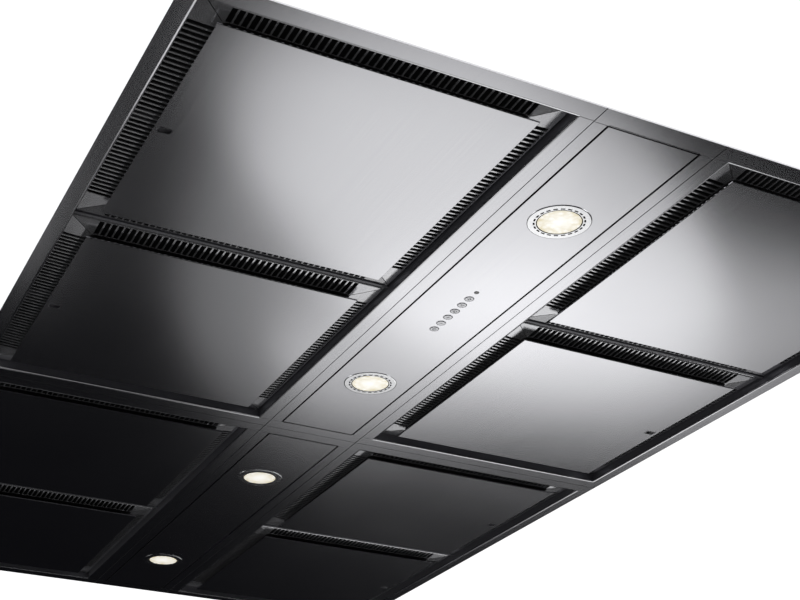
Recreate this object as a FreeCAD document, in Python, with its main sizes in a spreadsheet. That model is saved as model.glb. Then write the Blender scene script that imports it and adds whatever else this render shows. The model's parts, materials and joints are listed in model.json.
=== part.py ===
# Ceiling range hood: two bays, each with a light channel between two extraction modules.
# Every piece is drawn from the underside of the trim (height 0) and then hung below the hanger plane.
import FreeCAD, Part
import os
import re
import Sketcher
from FreeCAD import Placement, Rotation, Vector

SIZES = {
    # overall layout
    "bay_length": (900, "length of one bay along the hood"),
    "side_width": (437, "width of one extraction module"),
    "centre_width": (150, "width of the light channel module"),
    "body_height": (204, "underside of the trim to the hanger plane"),
    "seam_gap": (0.6, "gap between neighbouring trim frames"),
    # trim frame of an extraction module
    "trim_sheet": (2, "thickness of the trim flange"),
    "trim_side": (18.5, "trim border along the module's long sides"),
    "trim_end": (24, "trim border across the module's ends"),
    "upstand_sheet": (2, "thickness of the wall around the opening"),
    "upstand_height": (30, "height of the wall around the opening"),
    "divider_sheet": (4, "thickness of the rail between two filters"),
    "divider_drop": (4, "divider rail below the top of the wall"),
    # filter cassettes
    "tray_height": (11, "slotted tray above the underside"),
    "tray_sheet": (1.2, "thickness of the slotted tray"),
    "tray_gap": (1, "clearance around a tray"),
    "tray_skirt": (14, "height of the tray's upturned edge"),
    "slot_length": (20, "length of an air slot"),
    "slot_width": (5.4, "width of an air slot"),
    "slot_pitch": (8, "distance between air slots"),
    "slot_inset": (7, "air slot from the tray's edge"),
    "slot_corner": (41, "unslotted corner of a tray"),
    "pin_radius": (2, "hinge rod radius"),
    "pin_clearance": (0.1, "radial clearance of hinge rods and spindles"),
    "pivot_inset": (4, "filter hinge axis from the tray's edge"),
    "pivot_rise": (2.2, "filter hinge axis above the tray's underside"),
    "panel_margin": (28, "cover panel from the edge of its filter opening"),
    "panel_sheet": (2, "thickness of cover panels and light panels"),
    "stud_radius": (4, "spacer stud radius"),
    "stud_inset": (20, "spacer stud from the edges of the cover panel"),
    # filter latches
    "latch_inset": (12, "latch window centre from the cover panel's outer edge"),
    "latch_window": (13, "latch window across the panel"),
    "latch_width": (8, "latch window along the panel"),
    "latch_tab": (6, "finger tab across the panel"),
    "latch_slack": (0.4, "clearance around a latch"),
    "latch_sheet": (2, "thickness of the latch bolt"),
    "latch_stem": (4, "thickness of the latch stem"),
    # plenum boxes, duct collars and flaps
    "plenum_side_inset": (13, "plenum wall from the trim's long edge"),
    "plenum_end_inset": (18, "plenum wall from the trim's short edge"),
    "plenum_sheet": (1.5, "thickness of the plenum's sheet"),
    "hanger_sheet": (4, "thickness of a hanger plate"),
    "hanger_size": (60, "side of a hanger plate"),
    "hanger_offset": (150, "hanger hole from the module's centre"),
    "hanger_hole": (4.5, "hanger hole radius"),
    "collar_radius": (75, "outside radius of a duct collar"),
    "collar_sheet": (1.5, "thickness of a duct collar's tube"),
    "collar_height": (60, "height of a duct collar above the roof"),
    "collar_flange": (20, "width of the collar's flange"),
    "flange_sheet": (2, "thickness of the collar's flange"),
    "screw_inset": (10, "collar screw from the flange's edge"),
    "screw_shank": (2, "collar screw shank radius"),
    "screw_head": (4, "collar screw head radius"),
    "screw_head_height": (2.5, "collar screw head height"),
    "screw_length": (8, "collar screw length under its head"),
    "screw_slack": (0.2, "radial clearance of a collar screw"),
    "flap_gap": (1.5, "flap edge from the inside of its collar"),
    "flap_sheet": (1.5, "thickness of a flap"),
    "flap_rise": (24, "flap spindle above the roof"),
    # light channel
    "channel_opening_side": (16.5, "trim border along the light panel"),
    "channel_opening_end": (25, "trim border at the ends of the light panel"),
    "channel_sheet": (1.5, "thickness of the light channel's sheet"),
    "channel_height": (100, "height of the light channel"),
    "light_gap": (2, "gap around the light panel"),
    "light_pivot_inset": (10, "light panel hinge axis from its edge"),
    "light_pivot_rise": (5, "light panel hinge axis above the underside"),
    "light_ear_width": (12, "width of a light panel hinge ear"),
    "light_ear_height": (9, "height of a light panel hinge ear"),
    "light_ear_sheet": (2, "thickness of a light panel hinge ear"),
    # lamps
    "lamp_offset": (244, "lamp from the middle of the light panel"),
    "bezel_radius": (36.8, "outside radius of a lamp bezel"),
    "bezel_bore": (30, "bezel opening radius"),
    "bezel_sheet": (1.2, "thickness of the bezel's flange"),
    "bezel_wall": (1.5, "thickness of the bezel's sleeve"),
    "bezel_depth": (10, "height of the bezel's sleeve"),
    "bezel_slack": (0.3, "clearance of a bezel's sleeve in the light panel"),
    "can_slack": (0.2, "clearance of a lamp can in its bezel"),
    "can_recess": (1.5, "lamp can above the light panel's face"),
    "can_height": (58, "height of a lamp can"),
    "can_wall": (3, "thickness of a lamp can"),
    "glass_thickness": (3, "thickness of a lamp glass"),
    "glass_slack": (0.1, "clearance of a lamp glass in its can"),
    # controls
    "button_radius": (6, "push button radius"),
    "button_pitch": (18.4, "distance between push buttons"),
    "button_start": (54.5, "first button from the middle of the panel, to the rear"),
    "button_proud": (0.5, "push button below the panel's face"),
    "button_slack": (0.3, "clearance of a push button in the panel"),
    "button_collar": (2, "width of a button's retaining collar"),
    "button_collar_height": (1.2, "height of a button's retaining collar"),
    "button_stem": (3, "button stem radius"),
    "button_stem_height": (5, "button stem height"),
    "button_travel": (1.5, "push button travel"),
    "led_radius": (3, "status light radius"),
    "led_height": (6, "status light height"),
    "control_width": (70, "width of the control box"),
    "control_margin": (22, "control box beyond the outer controls"),
    "control_wall": (2, "thickness of the control box's walls"),
    "control_height": (24, "height of the control box"),
}
BUTTON_COUNT = 6
SIDES = {"left": -1, "right": 1}
BAYS = {"front": -1, "rear": 1}
CORNERS = [(1, 1), (1, -1), (-1, 1), (-1, -1)]
ALONG_X = Rotation(Vector(0, 1, 0), 90)
ALONG_Y = Rotation(Vector(1, 0, 0), -90)
HALF_TURN = Rotation(Vector(0, 0, 1), 180)

doc = FreeCAD.newDocument("ceiling_hood")
sheet = doc.addObject("Spreadsheet::Sheet", "sizes")
for row, (alias, (size, note)) in enumerate(SIZES.items(), start=1):
    sheet.set(f"A{row}", note)
    sheet.set(f"B{row}", str(size))
    sheet.setAlias(f"B{row}", alias)
doc.recompute()
parts = []


def expression(text):
    return re.sub(r"[a-z_]+", lambda word: f"sizes.{word[0]}" if word[0] in SIZES else word[0], text)


def bind(thing, **formulas):
    for name, text in formulas.items():
        thing.setExpression(name.replace("__", "."), expression(text))
    return thing


def place(thing, x="0", y="0", z="0", turn=Rotation()):
    thing.Placement = Placement(Vector(), turn)
    return bind(thing, Placement__Base__x=x, Placement__Base__y=y, Placement__Base__z=z)


def block(name, x, y, z):
    # a box from (low, high) formulas on each axis
    box = doc.addObject("Part::Box", name)
    bind(box, Length=f"({x[1]}) - ({x[0]})", Width=f"({y[1]}) - ({y[0]})", Height=f"({z[1]}) - ({z[0]})")
    return place(box, x[0], y[0], z[0])


def plate(name, width, length, z):
    return block(name, (f"-({width}) / 2", f"({width}) / 2"), (f"-({length}) / 2", f"({length}) / 2"), z)


def rod(name, radius, height, x="0", y="0", z="0", turn=Rotation()):
    cylinder = doc.addObject("Part::Cylinder", name)
    bind(cylinder, Radius=radius, Height=height)
    return place(cylinder, x, y, z, turn)


def fuse(name, shapes):
    joined = doc.addObject("Part::MultiFuse", name)
    joined.Shapes = shapes
    return joined


def cut(name, base, tools):
    tool = tools[0] if len(tools) == 1 else fuse(name + "_tools", tools)
    result = doc.addObject("Part::Cut", name)
    result.Base = base
    result.Tool = tool
    return result


def group(name, members):
    compound = doc.addObject("Part::Compound", name)
    compound.Links = members
    return compound


def sub_part(master, label, x="0", y="0", turn=Rotation()):
    # a clone of a drawn piece, hung at its place in the hood
    body = doc.addObject("PartDesign::Body", label)
    base = doc.addObject("PartDesign::FeatureBase", label + "_base")
    body.Group = [base]
    base.BaseFeature = master
    body.Tip = base
    body.Label = label
    place(body, x, y, "-body_height", turn)
    parts.append(body)
    return body


def origin_feature(body, role):
    return next(item for item in body.Origin.OriginFeatures if item.Role == role)


def new_sketch(body, name, height="0"):
    sketch = body.newObject("Sketcher::SketchObject", name)
    sketch.AttachmentSupport = [(origin_feature(body, "XY_Plane"), "")]
    sketch.MapMode = "FlatFace"
    return bind(sketch, AttachmentOffset__Base__z=height)


def rectangle(sketch, x, y):
    # a rectangle from (low, high) formulas on each axis, held by its two opposite corners
    low, high = [
        Vector(*(float(sketch.evalExpression(expression(text))) for text in corner), 0) for corner in zip(x, y)
    ]
    corners = [low, Vector(high.x, low.y, 0), high, Vector(low.x, high.y, 0)]
    first = sketch.GeometryCount
    for start, end in zip(corners, corners[1:] + corners[:1]):
        sketch.addGeometry(Part.LineSegment(start, end))
    for side in range(4):
        sketch.addConstraint(Sketcher.Constraint("Coincident", first + side, 2, first + (side + 1) % 4, 1))
        sketch.addConstraint(Sketcher.Constraint("Horizontal" if side % 2 == 0 else "Vertical", first + side))
    for kind, index, point, text in (
        ("DistanceX", 0, low.x, x[0]),
        ("DistanceY", 0, low.y, y[0]),
        ("DistanceX", 2, high.x, x[1]),
        ("DistanceY", 2, high.y, y[1]),
    ):
        number = sketch.addConstraint(Sketcher.Constraint(kind, -1, 1, first + index, 1, point))
        sketch.setExpression(f"Constraints[{number}]", expression(text))


def circle(sketch, radius, x, y):
    middle = Vector(*(float(sketch.evalExpression(expression(text))) for text in (x, y)), 0)
    size = float(sketch.evalExpression(expression(radius)))
    index = sketch.addGeometry(Part.Circle(middle, Vector(0, 0, 1), size))
    for kind, point, text in (("DistanceX", middle.x, x), ("DistanceY", middle.y, y)):
        number = sketch.addConstraint(Sketcher.Constraint(kind, -1, 1, index, 3, point))
        sketch.setExpression(f"Constraints[{number}]", expression(text))
    number = sketch.addConstraint(Sketcher.Constraint("Radius", index, size))
    sketch.setExpression(f"Constraints[{number}]", expression(radius))


def pad(body, name, sketch, height):
    feature = body.newObject("PartDesign::Pad", name)
    feature.Profile = sketch
    return bind(feature, Length=height)


def pocket_through(body, name, sketch):
    feature = body.newObject("PartDesign::Pocket", name)
    feature.Profile = sketch
    feature.Type = "ThroughAll"
    feature.Midplane = True
    return feature


def row_of(body, name, feature, axis, spacing, count):
    pattern = body.newObject("PartDesign::LinearPattern", name)
    pattern.Originals = [feature]
    pattern.Direction = (origin_feature(body, axis), [""])
    bind(pattern, Length=f"({spacing}) * ({count} - 1)", Occurrences=count)
    body.Tip = pattern
    return pattern


# Formulas that several pieces share, in the sizes above.
opening_width = "(side_width - 2 * trim_side)"
opening_length = "(bay_length - 2 * trim_end)"
cell_length = f"(({opening_length} - divider_sheet) / 2)"
tray_width = f"({opening_width} - 2 * tray_gap)"
tray_length = f"({cell_length} - 2 * tray_gap)"
panel_width = f"({opening_width} - 2 * panel_margin)"
panel_length = f"({cell_length} - 2 * panel_margin)"
pivot_x = f"(pivot_inset - {tray_width} / 2)"
pivot_z = "(tray_height + pivot_rise)"
pivot_bore = "(pin_radius + pin_clearance)"
latch_x = f"({panel_width} / 2 - latch_inset)"
roof_top = "(body_height - hanger_sheet)"
flange_radius = "(collar_radius + collar_flange)"
screw_circle = f"(({flange_radius} - screw_inset) * sqrt(0.5))"
screw_bore = "(screw_shank + screw_slack)"
collar_bore = "(collar_radius - collar_sheet)"
flap_z = f"({roof_top} + flap_rise)"
channel_width = "(centre_width - 2 * channel_opening_side)"
channel_length = "(bay_length - 2 * channel_opening_end)"
light_width = f"({channel_width} - 2 * light_gap)"
light_length = f"({channel_length} - 2 * light_gap)"
light_pivot_x = f"({light_width} / 2 - light_pivot_inset)"
sleeve_radius = "(bezel_bore + bezel_wall)"
can_radius = "(bezel_bore - can_slack)"
can_bore = f"({can_radius} - can_wall)"
glass_top = "(can_recess + glass_thickness)"
collar_base = "(panel_sheet + button_slack)"
stem_base = f"({collar_base} + button_collar_height)"
stem_top = f"({stem_base} + button_stem_height)"
led_y = f"(button_start - button_pitch * {BUTTON_COUNT})"
module_x = "((centre_width + side_width) / 2)"
cell_y = f"((divider_sheet + {cell_length}) / 2)"


def button_y(number):
    return f"(button_start - button_pitch * {number})"


def side_frame():
    # flat trim with a wall round the opening, a rail between the filters and bores for their hinge rods
    flange = plate("trim_flange", "side_width - seam_gap", "bay_length - seam_gap", ("0", "trim_sheet"))
    wall = plate(
        "opening_wall",
        f"{opening_width} + 2 * upstand_sheet",
        f"{opening_length} + 2 * upstand_sheet",
        ("0", "upstand_height"),
    )
    opening = plate("filter_opening", opening_width, opening_length, ("-trim_sheet", "upstand_height + trim_sheet"))
    frame = cut("trim_ring", fuse("trim_blank", [flange, wall]), [opening])
    rail = plate("divider", opening_width, "divider_sheet", ("tray_height", "upstand_height - divider_drop"))
    bore = rod("frame_bore", pivot_bore, "bay_length", pivot_x, "-bay_length / 2", pivot_z, ALONG_Y)
    return cut("side_frame", fuse("framed", [frame, rail]), [bore])


def filter_tray():
    # slotted baffle tray with an upturned edge and a hinge rod along its inner side
    body = doc.addObject("PartDesign::Body", "filter_tray")
    half_width, half_length = f"{tray_width} / 2", f"{tray_length} / 2"
    border = new_sketch(body, "tray_border", "tray_height")
    rectangle(border, (f"-{half_width}", half_width), (f"-{half_length}", half_length))
    pad(body, "tray_plate", border, "tray_sheet")
    edge = new_sketch(body, "tray_edge", "tray_height")
    rectangle(edge, (f"-{half_width}", half_width), (f"-{half_length}", half_length))
    inner_x, inner_y = f"{half_width} - tray_sheet", f"{half_length} - tray_sheet"
    rectangle(edge, (f"-({inner_x})", inner_x), (f"-({inner_y})", inner_y))
    pad(body, "tray_upturn", edge, "tray_skirt")
    latch_hole = new_sketch(body, "latch_hole", "tray_height")
    reach = "(latch_window / 2 + latch_slack)"
    half_slot = "(latch_width / 2 + latch_slack)"
    rectangle(latch_hole, (f"{latch_x} - {reach}", f"{latch_x} + {reach}"), (f"-{half_slot}", half_slot))
    pocket_through(body, "latch_cut", latch_hole)
    outer, inner = "slot_inset", "(slot_inset + slot_length)"
    for axis, across, along in (("X_Axis", half_length, half_width), ("Y_Axis", half_width, half_length)):
        name = axis[0].lower()
        slots = new_sketch(body, f"slots_{name}", "tray_height")
        start = (f"slot_corner - {along}", f"slot_corner + slot_width - {along}")
        for near, far in ((f"{across} - {inner}", f"{across} - {outer}"), (f"{outer} - {across}", f"{inner} - {across}")):
            if name == "x":
                rectangle(slots, start, (near, far))
            else:
                rectangle(slots, (near, far), start)
        slot = pocket_through(body, f"slot_cut_{name}", slots)
        doc.recompute()
        count = f"(floor((2 * {along} - 2 * slot_corner - slot_width) / slot_pitch) + 1)"
        row_of(body, f"slot_row_{name}", slot, axis, "slot_pitch", count)
    hinge_length = f"({tray_length} + 2 * tray_gap + divider_sheet * 0.9)"
    hinge = rod("hinge_rod", "pin_radius", hinge_length, pivot_x, f"-{hinge_length} / 2", pivot_z, ALONG_Y)
    return fuse("hinged_tray", [body, hinge])


def cover_panel():
    # flat panel with a latch window, on spacer studs that carry it below the tray
    body = doc.addObject("PartDesign::Body", "cover_panel")
    half_width, half_length = f"{panel_width} / 2", f"{panel_length} / 2"
    face = new_sketch(body, "panel_face")
    rectangle(face, (f"-{half_width}", half_width), (f"-{half_length}", half_length))
    half_window = "latch_window / 2"
    rectangle(face, (f"{latch_x} - {half_window}", f"{latch_x} + {half_window}"), ("-latch_width / 2", "latch_width / 2"))
    pad(body, "panel_sheet_metal", face, "panel_sheet")
    studs = new_sketch(body, "stud_rows", "panel_sheet")
    for right, back in CORNERS:
        circle(
            studs, "stud_radius", f"{right} * ({half_width} - stud_inset)", f"{back} * ({half_length} - stud_inset)"
        )
    body.Tip = pad(body, "spacer_studs", studs, "tray_height - panel_sheet")
    return body


def filter_latch():
    # finger tab in the panel's window, a stem through the tray and a bolt that slides on the tray
    half_tab = "(latch_width / 2 - latch_slack)"
    window_end = f"({latch_x} + latch_window / 2 - latch_slack)"
    bolt_base = "(tray_height + tray_sheet + latch_slack)"
    tab = block(
        "latch_finger", (f"{window_end} - latch_tab", window_end), (f"-{half_tab}", half_tab), ("latch_slack", "panel_sheet")
    )
    stem = block(
        "latch_post",
        (f"{window_end} - latch_stem", window_end),
        (f"-{half_tab}", half_tab),
        ("panel_sheet", f"{bolt_base} + latch_sheet"),
    )
    bolt_end = f"({tray_width} / 2 - tray_sheet - latch_slack)"
    bolt = block(
        "latch_bolt",
        (f"{latch_x} - latch_window", bolt_end),
        ("-latch_width", "latch_width"),
        (bolt_base, f"{bolt_base} + latch_sheet"),
    )
    return fuse("filter_latch", [tab, stem, bolt])


def plenum():
    # open-bottomed sheet box over an extraction module
    width = "side_width - 2 * plenum_side_inset"
    length = "bay_length - 2 * plenum_end_inset"
    shell = plate("plenum_shell", width, length, ("trim_sheet", roof_top))
    hollow = plate(
        "plenum_hollow",
        f"{width} - 2 * plenum_sheet",
        f"{length} - 2 * plenum_sheet",
        ("0", f"{roof_top} - plenum_sheet"),
    )
    outlet = rod("plenum_outlet", collar_bore, "body_height", z="plenum_sheet")
    hanger = rod("plenum_hanger_hole", "hanger_hole", "body_height", "hanger_offset", z="plenum_sheet")
    return cut("plenum", shell, [hollow, outlet, hanger] + collar_screw_holes("plenum"))


def collar_screw_holes(name):
    return [
        rod(
            f"{name}_screw_hole_{number}",
            screw_bore,
            "body_height",
            f"{right} * {screw_circle}",
            f"{back} * {screw_circle}",
            "plenum_sheet",
        )
        for number, (right, back) in enumerate(CORNERS, start=1)
    ]


def duct_collar():
    # round spigot on a flange, with bores for the flap's spindle
    flange = rod("collar_flange_disc", flange_radius, "flange_sheet", z=roof_top)
    tube = rod("collar_tube", "collar_radius", "collar_height", z=roof_top)
    bore = rod("collar_bore", collar_bore, "collar_height + flange_sheet", z=f"{roof_top} - flange_sheet / 2")
    spindle = rod(
        "collar_spindle_bore", pivot_bore, "2 * collar_radius + collar_flange", "-collar_radius - collar_flange / 2",
        z=flap_z, turn=ALONG_X,
    )
    return cut("duct_collar", fuse("collar_blank", [flange, tube]), [bore, spindle] + collar_screw_holes("collar"))


def backflow_flap():
    # disc on a spindle that turns in the collar
    disc = rod("flap_disc", f"{collar_bore} - flap_gap", "flap_sheet", z=f"{flap_z} - flap_sheet / 2")
    spindle_length = "(2 * collar_radius - collar_sheet / 2)"
    spindle = rod("flap_spindle", "pin_radius", spindle_length, f"-{spindle_length} / 2", z=flap_z, turn=ALONG_X)
    return fuse("backflow_flap", [disc, spindle])


def light_housing():
    # trim and closed channel over the light panel, with bores for its hinge pins
    flange = plate("light_trim", "centre_width - seam_gap", "bay_length - seam_gap", ("0", "trim_sheet"))
    box = plate(
        "channel_box",
        f"{channel_width} + 2 * channel_sheet",
        f"{channel_length} + 2 * channel_sheet",
        ("0", "channel_height"),
    )
    hollow = plate("channel_hollow", channel_width, channel_length, ("-trim_sheet", "channel_height - channel_sheet"))
    bore = rod(
        "channel_bore", pivot_bore, "bay_length", light_pivot_x, "-bay_length / 2", "light_pivot_rise", ALONG_Y
    )
    return cut("light_housing", fuse("channel_blank", [flange, box]), [hollow, bore])


def light_panel(bay, controls):
    # panel with lamp holes, hinge ears and pins; the controls go through holes in the front one
    face = plate(f"light_face_{bay}", light_width, light_length, ("0", "panel_sheet"))
    pieces = [face]
    for end in BAYS.values():
        tip = f"{light_length} / 2"
        ear = block(
            f"light_ear_{bay}_{end + 1}",
            (f"{light_pivot_x} - light_ear_width / 2", f"{light_pivot_x} + light_ear_width / 2"),
            (f"{tip} - light_ear_sheet", tip) if end > 0 else (f"-{tip}", f"light_ear_sheet - {tip}"),
            ("0", "light_ear_height"),
        )
        pin_length = "(light_ear_sheet + light_gap + channel_sheet)"
        pin_start = f"{tip} - light_ear_sheet" if end > 0 else f"light_ear_sheet - {tip} - {pin_length}"
        pin = rod(
            f"light_pin_{bay}_{end + 1}", "pin_radius", pin_length, light_pivot_x, pin_start, "light_pivot_rise", ALONG_Y
        )
        pieces += [ear, pin]
    through = {"height": "2 * panel_sheet", "z": "-panel_sheet / 2"}
    holes = [
        rod(f"lamp_hole_{bay}_{end + 1}", f"{sleeve_radius} + bezel_slack", y=f"{end} * lamp_offset", **through)
        for end in BAYS.values()
    ]
    if controls:
        for number in range(BUTTON_COUNT):
            holes.append(
                rod(f"button_hole_{number + 1}", "button_radius + button_slack", y=button_y(number), **through)
            )
        holes.append(rod("led_hole", "led_radius + button_slack", y=led_y, **through))
    return cut(f"light_panel_drawn_{bay}", fuse(f"light_blank_{bay}", pieces), holes)


def lamp_pair(name, one_lamp):
    # the same lamp piece at both lamp places
    return group(name, [one_lamp(f"{name}_{end + 1}", f"{end} * lamp_offset") for end in BAYS.values()])


def lamp_bezel(name, y):
    flange = rod(name + "_flange", "bezel_radius", "bezel_sheet", y=y, z="-bezel_sheet")
    sleeve = rod(name + "_sleeve", sleeve_radius, "bezel_depth", y=y)
    bore = rod(name + "_bore", "bezel_bore", "bezel_depth + 2 * bezel_sheet", y=y, z="-2 * bezel_sheet")
    return cut(name, fuse(name + "_blank", [flange, sleeve]), [bore])


def lamp_can(name, y):
    cup = rod(name + "_cup", can_radius, "can_height", y=y, z="can_recess")
    hollow = rod(name + "_hollow", can_bore, "can_height - can_wall", y=y, z="can_recess")
    return cut(name, cup, [hollow])


def lamp_glass(name, y):
    return rod(name, f"{can_bore} - glass_slack", "glass_thickness", y=y, z="can_recess")


def push_button(number):
    y = button_y(number)
    name = f"button_{number + 1}"
    cap = rod(name + "_cap", "button_radius", f"button_proud + {collar_base}", y=y, z="-button_proud")
    collar = rod(name + "_collar", "button_radius + button_collar", "button_collar_height", y=y, z=collar_base)
    stem = rod(name + "_stem", "button_stem", "button_stem_height", y=y, z=stem_base)
    return fuse(name + "_drawn", [cap, collar, stem])


def status_led():
    lens = rod("led_lens", "led_radius", "led_height", y=led_y, z="-button_proud")
    rim = rod("led_rim", "led_radius + button_collar / 2", "button_collar_height", y=led_y, z="panel_sheet")
    return fuse("status_led_drawn", [lens, rim])


def control_box():
    # electronics cover over the buttons' stems
    ends = (f"{led_y} - control_margin", "button_start + control_margin")
    half_width = "control_width / 2"
    cover = block("control_cover", (f"-{half_width}", half_width), ends, ("panel_sheet", "panel_sheet + control_height"))
    hollow = block(
        "control_hollow",
        (f"control_wall - {half_width}", f"{half_width} - control_wall"),
        (f"{ends[0]} + control_wall", f"{ends[1]} - control_wall"),
        ("0", f"{stem_top} + button_travel + button_slack"),
    )
    return cut("control_box_drawn", cover, [hollow])


def hanger_plate():
    hole = rod("hanger_plate_hole", "hanger_hole", "body_height", "hanger_offset", z="trim_sheet")
    half = "hanger_size / 2"
    slab = block(
        "hanger_slab",
        (f"hanger_offset - {half}", f"hanger_offset + {half}"),
        (f"-{half}", half),
        (roof_top, f"{roof_top} + hanger_sheet"),
    )
    return cut("hanger_plate", slab, [hole])


def collar_screw_set():
    screws = []
    seat = f"({roof_top} + flange_sheet)"
    for number, (right, back) in enumerate(CORNERS, start=1):
        spot = {"x": f"{right} * {screw_circle}", "y": f"{back} * {screw_circle}"}
        head = rod(f"screw_head_{number}", "screw_head", "screw_head_height", z=seat, **spot)
        shank = rod(f"screw_shank_{number}", "screw_shank", "screw_length", z=f"{seat} - screw_length", **spot)
        screws.append(fuse(f"collar_screw_{number}", [head, shank]))
    return group("collar_screw_set", screws)


def module_spots():
    for side, right in SIDES.items():
        for bay, back in BAYS.items():
            turn = Rotation() if right > 0 else HALF_TURN
            yield side, bay, f"{right} * {module_x}", f"{back} * bay_length / 2", turn


def spread(master, label):
    # one group with a copy of the master at every extraction module
    copies = []
    for side, bay, x, y, turn in module_spots():
        copy = doc.addObject("Part::Compound", f"{label}_{side}_{bay}")
        copy.Links = [master]
        copies.append(place(copy, x, y, turn=turn))
    sub_part(group(label + "_drawn", copies), label)


def build_hood():
    frame, box, collar, flap = side_frame(), plenum(), duct_collar(), backflow_flap()
    for side, bay, x, y, turn in module_spots():
        for master, label in (
            (frame, "side_frame"), (box, "plenum"), (collar, "duct_collar"), (flap, "backflow_flap")
        ):
            sub_part(master, f"{label}_{side}_{bay}", x, y, turn)
    spread(hanger_plate(), "hanger_plates")
    spread(collar_screw_set(), "collar_screws")

    tray, cover, latch = filter_tray(), cover_panel(), filter_latch()
    for side, right in SIDES.items():
        turn = Rotation() if right > 0 else HALF_TURN
        cells = [(bay, half) for bay in BAYS.values() for half in BAYS.values()]
        for number, (bay, half) in enumerate(cells, start=1):
            y = f"{bay} * bay_length / 2 + {half} * {cell_y}"
            for master, label in ((tray, "filter_tray"), (cover, "cover_panel"), (latch, "filter_latch")):
                sub_part(master, f"{label}_{side}_{number}", f"{right} * {module_x}", y, turn)

    housing = light_housing()
    bezels = lamp_pair("lamp_bezel_pair", lamp_bezel)
    cans = lamp_pair("lamp_can_pair", lamp_can)
    glasses = lamp_pair("lamp_glass_pair", lamp_glass)
    for bay, back in BAYS.items():
        y = f"{back} * bay_length / 2"
        sub_part(housing, f"light_housing_{bay}", y=y)
        sub_part(light_panel(bay, bay == "front"), f"light_panel_{bay}", y=y)
        sub_part(bezels, f"lamp_bezels_{bay}", y=y)
        sub_part(cans, f"lamp_cans_{bay}", y=y)
        sub_part(glasses, f"lamp_glasses_{bay}", y=y)

    controls_y = "-bay_length / 2"
    for number in range(BUTTON_COUNT):
        sub_part(push_button(number), f"button_{number + 1}", y=controls_y)
    sub_part(status_led(), "status_led", y=controls_y)
    sub_part(control_box(), "control_box", y=controls_y)


def check_and_write():
    doc.recompute()
    failed = [item.Name for item in doc.Objects if {"Invalid", "Error"} & set(item.State)]
    if failed:
        raise RuntimeError(f"features failed: {failed}")
    # clones share the geometry of the piece they copy, so each drawn piece is tested once
    masters = {body.Tip.BaseFeature.Name: body.Tip.BaseFeature for body in parts}
    unsound = {name for name, master in masters.items() if not master.Shape.isValid()}
    for body in parts:
        if body.Shape.isNull() or not body.Shape.Solids or body.Tip.BaseFeature.Name in unsound:
            raise RuntimeError(f"{body.Label} has no valid solid")
    os.makedirs("parts", exist_ok=True)
    for body in parts:
        body.Shape.exportStep(f"parts/{body.Label}.step")
        box = body.Shape.BoundBox
        print(f"{body.Label}: {len(body.Shape.Solids)} solids, {box.XLength:.1f} x {box.YLength:.1f} x {box.ZLength:.1f}")


build_hood()
check_and_write()
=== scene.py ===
import json
import math

import bmesh
import bpy
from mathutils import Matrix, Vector


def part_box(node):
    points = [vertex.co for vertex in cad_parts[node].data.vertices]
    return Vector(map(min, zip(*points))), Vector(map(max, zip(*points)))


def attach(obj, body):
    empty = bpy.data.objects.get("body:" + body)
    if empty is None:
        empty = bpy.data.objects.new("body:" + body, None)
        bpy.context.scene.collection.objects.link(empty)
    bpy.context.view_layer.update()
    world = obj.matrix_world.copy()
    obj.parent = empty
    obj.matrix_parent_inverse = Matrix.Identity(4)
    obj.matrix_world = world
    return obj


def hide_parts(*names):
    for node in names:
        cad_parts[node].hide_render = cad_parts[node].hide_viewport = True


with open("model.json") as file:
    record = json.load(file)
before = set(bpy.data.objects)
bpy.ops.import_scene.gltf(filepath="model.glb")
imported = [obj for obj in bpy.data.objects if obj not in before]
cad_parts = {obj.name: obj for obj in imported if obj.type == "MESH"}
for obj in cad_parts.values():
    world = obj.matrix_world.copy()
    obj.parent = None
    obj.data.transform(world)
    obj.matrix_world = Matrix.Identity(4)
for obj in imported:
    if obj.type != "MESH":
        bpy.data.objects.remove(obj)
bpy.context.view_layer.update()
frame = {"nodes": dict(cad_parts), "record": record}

mm = 0.001
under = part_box("side_frame_left_front")[0].z  # lowest face of the steel trim
sides = {"left": -1, "right": 1}
bays = ("front", "rear")
modules = [f"{side}_{bay}" for side in sides for bay in bays]
cassettes = {f"{side}_{number}": right for side, right in sides.items() for number in range(1, 5)}
print("frame loaded,", len(frame["nodes"]), "nodes")


def linear(hexColour):
    channels = [int(hexColour[at:at + 2], 16) / 255 for at in (1, 3, 5)]
    return [c / 12.92 if c <= 0.04045 else ((c + 0.055) / 1.055) ** 2.4 for c in channels] + [1]


def addNode(tree, kind, sockets=None, **settings):
    node = tree.nodes.new(kind)
    for name, value in settings.items():
        setattr(node, name, value)
    for name, value in (sockets or {}).items():
        if isinstance(value, bpy.types.Node):
            value = value.outputs[0]  # a node stands for its first output
        if isinstance(value, bpy.types.NodeSocket):
            tree.links.new(value, node.inputs[name])
        else:
            node.inputs[name].default_value = value
    return node


# a sum, product or test on sockets and numbers
def reckon(tree, operation, *values):
    return addNode(tree, "ShaderNodeMath", dict(enumerate(values)), operation=operation).outputs[0]


def mixColour(tree, share, first, second):
    return addNode(tree, "ShaderNodeMix", {0: share, 6: first, 7: second}, data_type="RGBA").outputs[2]


def ranged(tree, value, source=(0, 1), target=(0, 1)):
    ends = {"From Min": source[0], "From Max": source[1], "To Min": target[0], "To Max": target[1]}
    return addNode(tree, "ShaderNodeMapRange", {"Value": value, **ends}).outputs[0]


def combined(tree, x=0, y=0, z=0):
    return addNode(tree, "ShaderNodeCombineXYZ", {"X": x, "Y": y, "Z": z}).outputs[0]


def newMaterial(name):
    material = bpy.data.materials.new(name)
    material.use_nodes = True
    tree = material.node_tree
    return material, tree, tree.nodes["Principled BSDF"]


def ownPlace(tree, kind="Object"):
    return addNode(tree, "ShaderNodeTexCoord").outputs[kind]


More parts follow.
